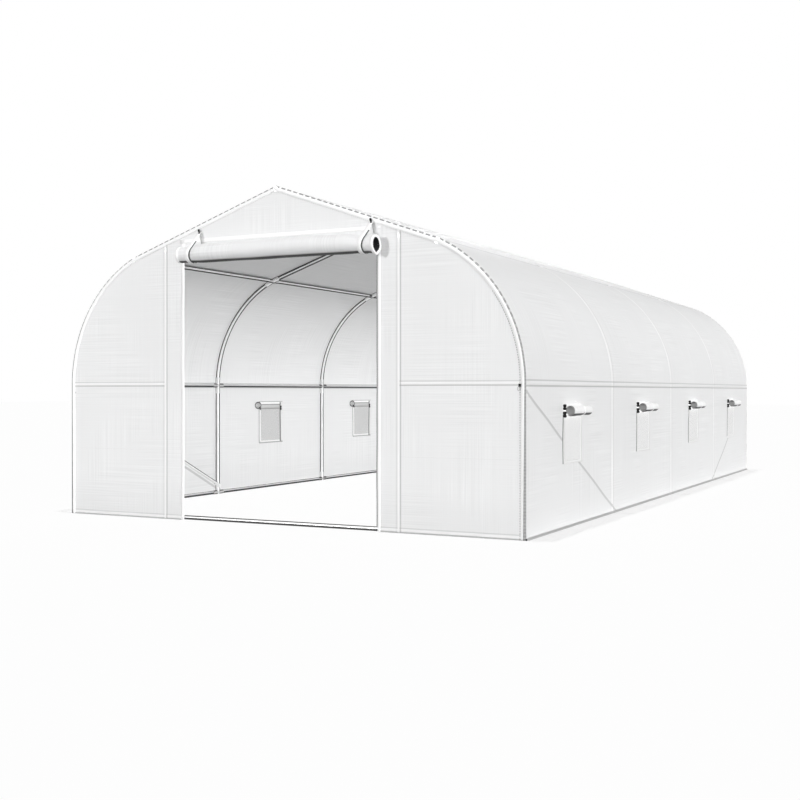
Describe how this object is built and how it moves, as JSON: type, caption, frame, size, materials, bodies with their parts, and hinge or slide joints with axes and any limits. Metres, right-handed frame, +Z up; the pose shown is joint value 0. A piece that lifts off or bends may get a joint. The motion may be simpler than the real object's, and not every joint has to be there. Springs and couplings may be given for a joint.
{
  "type": "polytunnel greenhouse",
  "caption": "Walk-in tunnel greenhouse: galvanised tube hoops under a white woven cover, open doorways with the door cloth rolled up, and rolled-up side windows with nets.",
  "frame": {"origin": "centre of the footprint, on the ground", "axes": "+X across the tunnel to the right as seen from the front, +Y along the tunnel from the front doorway to the back one, +Z up"},
  "size_m": [3.3428, 6.382, 1.9468],
  "materials": {
    "galvanised_tube": "dull galvanised steel tube",
    "joint_sockets": "pressed galvanised steel, slightly brighter than the tubes",
    "woven_cover": "white woven polyethylene, slightly see-through, with a fine thread grid",
    "window_net": "pale insect net with a sewn border",
    "strap_webbing": "flat white webbing",
    "black_toggle": "moulded black plastic"
  },
  "bodies": {
    "root": {"back_door_curtain": "woven_cover", "back_door_posts": "galvanised_tube", "back_gable": "woven_cover", "back_hoop": "galvanised_tube", "back_left_panel": "woven_cover", "back_right_panel": "woven_cover", "base_fittings": "joint_sockets", "diagonal_braces": "galvanised_tube", "door_post_fittings": "joint_sockets", "door_straps": "strap_webbing", "door_toggles": "black_toggle", "end_base_rails": "galvanised_tube", "end_waist_rails": "galvanised_tube", "fourth_hoop": "galvanised_tube", "front_door_curtain": "woven_cover", "front_door_posts": "galvanised_tube", "front_gable": "woven_cover", "front_hoop": "galvanised_tube", "front_left_panel": "woven_cover", "front_right_panel": "woven_cover", "left_base_rail": "galvanised_tube", "left_purlin": "galvanised_tube", "left_roof_cover": "woven_cover", "left_shoulder_cover": "woven_cover", "left_skirt": "woven_cover", "left_waist_rail": "galvanised_tube", "left_wall_cover": "woven_cover", "left_window_flaps": "woven_cover", "left_window_nets": "window_net", "middle_hoop": "galvanised_tube", "purlin_fittings": "joint_sockets", "ridge_fittings": "joint_sockets", "ridge_rail": "galvanised_tube", "right_base_rail": "galvanised_tube", "right_purlin": "galvanised_tube", "right_roof_cover": "woven_cover", "right_shoulder_cover": "woven_cover", "right_skirt": "woven_cover", "right_waist_rail": "galvanised_tube", "right_wall_cover": "woven_cover", "right_window_flaps": "woven_cover", "right_window_nets": "window_net", "second_hoop": "galvanised_tube", "waist_fittings": "joint_sockets"}
  },
  "joints": []
}
